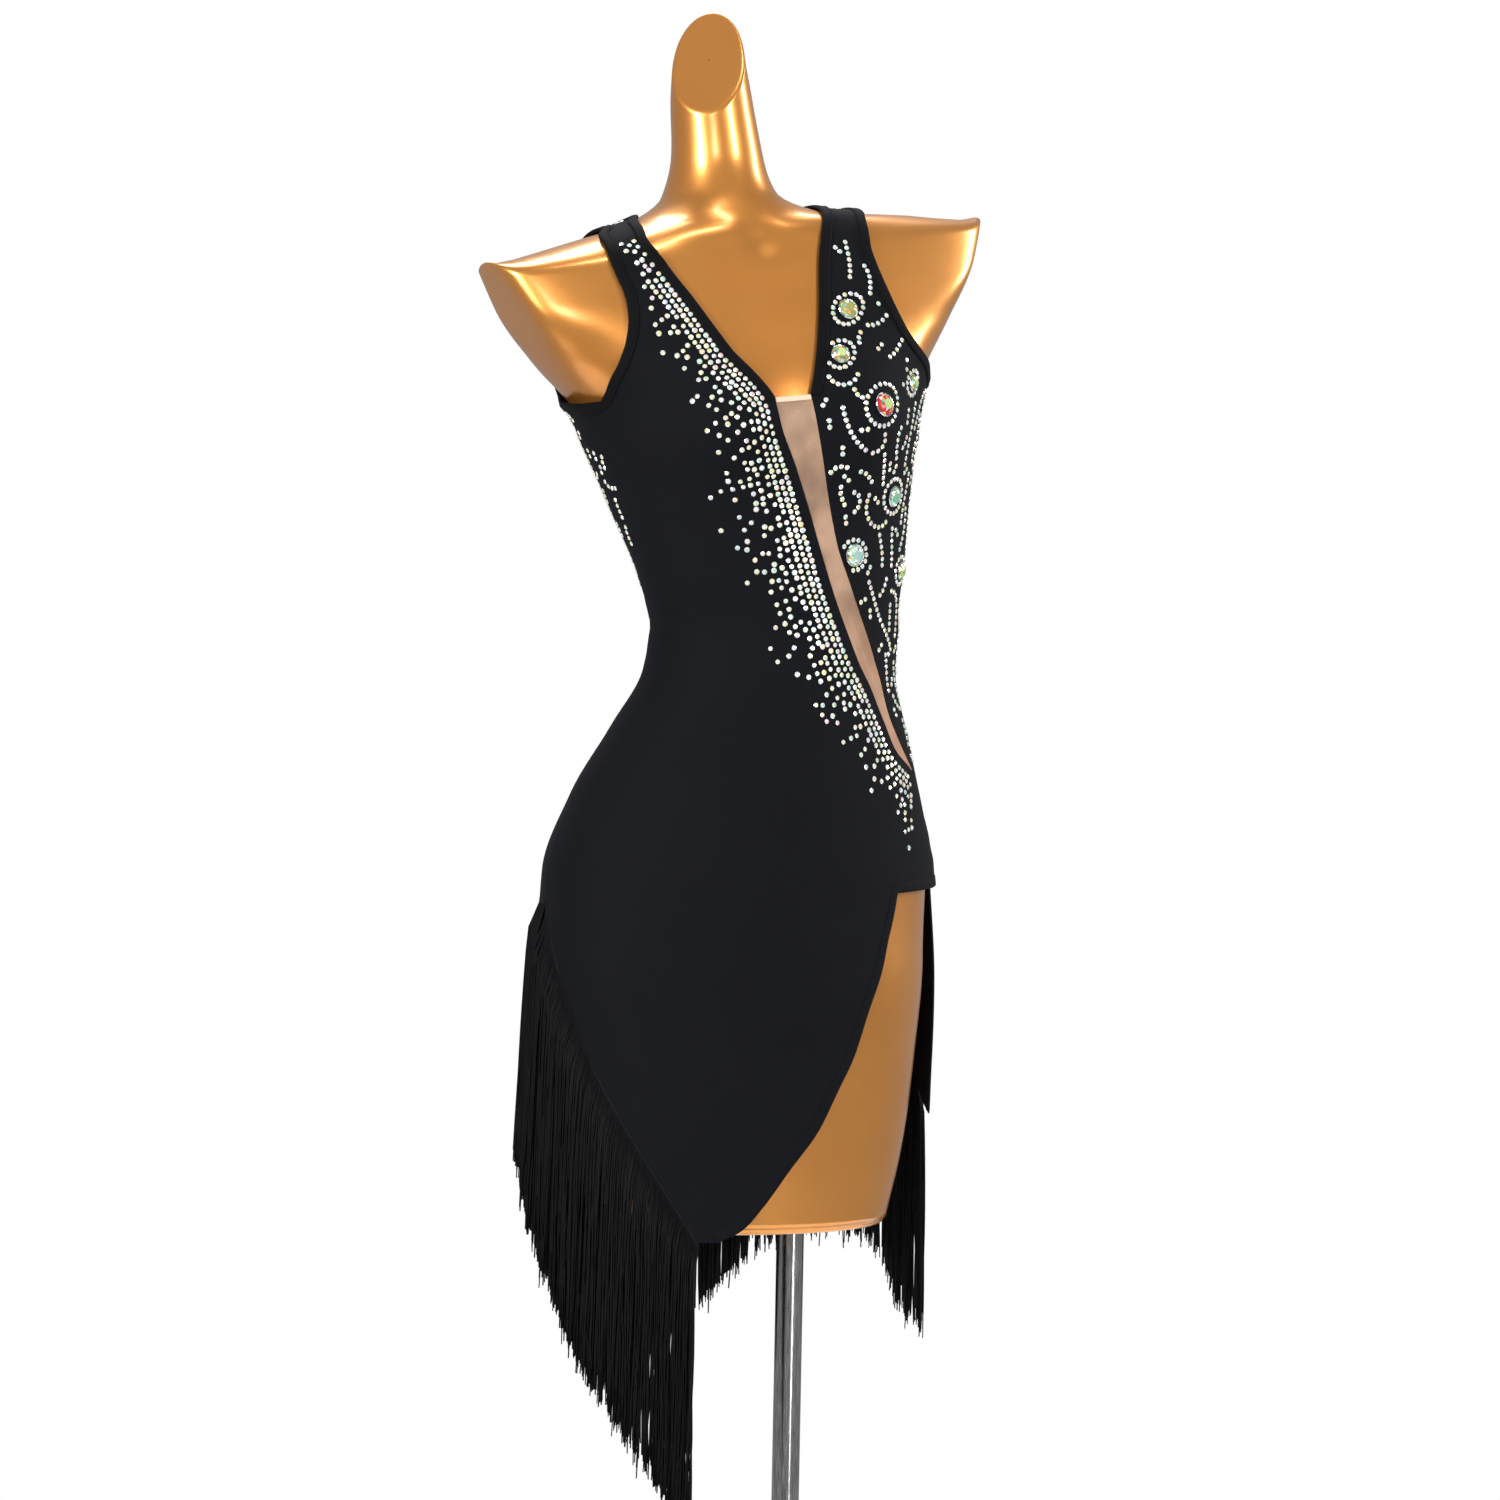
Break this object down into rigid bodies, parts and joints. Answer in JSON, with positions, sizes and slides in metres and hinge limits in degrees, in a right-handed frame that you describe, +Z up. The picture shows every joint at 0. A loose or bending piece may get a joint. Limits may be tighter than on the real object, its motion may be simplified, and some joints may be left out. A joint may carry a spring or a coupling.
{
  "type": "latin dance dress on a dress form",
  "caption": "Sleeveless black latin dance dress with a nude mesh insert, crystal trim and a slit, fringed, asymmetric skirt, worn by a gold limbless dress form on a pole stand.",
  "frame": {"origin": "centre of the stand's underside, on the pole's axis", "axes": "+Z up, the dress faces -Y, the wearer's left is +X"},
  "size_m": [0.4348, 0.34, 1.7224],
  "materials": {
    "jersey": "matt stretch jersey with a soft sheen",
    "binding": "folded elastic binding",
    "fringe": "chainette fringe strands",
    "nude_mesh": "fine nude stretch mesh",
    "crystal": "faceted coated glass stones",
    "gold_form": "gloss gold lacquer",
    "base_steel": "brushed steel plate",
    "pole_chrome": "polished steel tube"
  },
  "bodies": {
    "root": {"form_body": "gold_form", "front_main": "jersey", "front_left": "jersey", "back_panel": "jersey", "mesh_insert": "nude_mesh", "neck_binding": "binding", "armhole_binding_right": "binding", "armhole_binding_left": "binding", "fringe_front": "fringe", "fringe_back_left": "fringe", "fringe_back_right": "fringe", "stand_base": "base_steel", "stand_pole": "pole_chrome", "stand_collar": "pole_chrome", "stone_1": "crystal", "stone_2": "crystal", "stone_3": "crystal", "stone_4": "crystal", "stone_5": "crystal", "stone_6": "crystal", "stone_7": "crystal", "stone_8": "crystal", "stone_9": "crystal", "stone_10": "crystal", "stone_11": "crystal", "stone_12": "crystal"}
  },
  "joints": []
}
